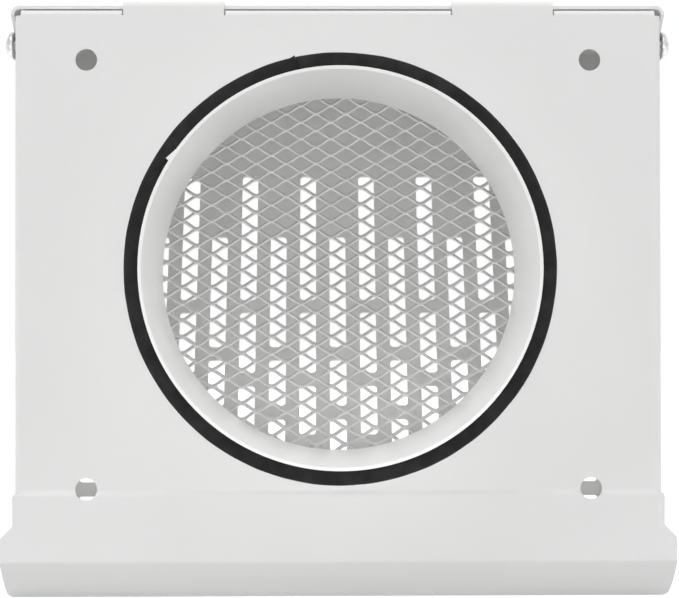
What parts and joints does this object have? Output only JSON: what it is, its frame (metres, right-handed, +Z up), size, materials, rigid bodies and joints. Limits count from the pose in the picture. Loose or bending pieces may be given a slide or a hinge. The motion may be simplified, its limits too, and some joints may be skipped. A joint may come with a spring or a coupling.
{
  "type": "exhaust vent cover",
  "caption": "Hooded wall cap for an exhaust duct: folded white sheet steel with a sealed round collar, an insect screen, a sloping slotted front and a drip lip.",
  "frame": {"origin": "on the duct axis, in the plane where the base plate lies against the wall", "axes": "+Z up, +Y outdoors along the duct axis, +X to the right seen from the wall"},
  "size_m": [0.1798, 0.1089, 0.1604],
  "materials": {
    "plate_paint": "satin white powder coat",
    "collar_paint": "gloss white powder coat",
    "cover_paint": "satin white powder coat",
    "seal_foam": "matt black foam rubber",
    "screen_metal": "grey expanded metal",
    "screw_steel": "bright steel"
  },
  "bodies": {
    "root": {"back_plate": "plate_paint", "duct_collar": "collar_paint", "seal_strip": "seal_foam", "insect_screen": "screen_metal", "front_cover": "cover_paint", "cover_screw_left": "screw_steel", "cover_screw_right": "screw_steel"}
  },
  "joints": []
}
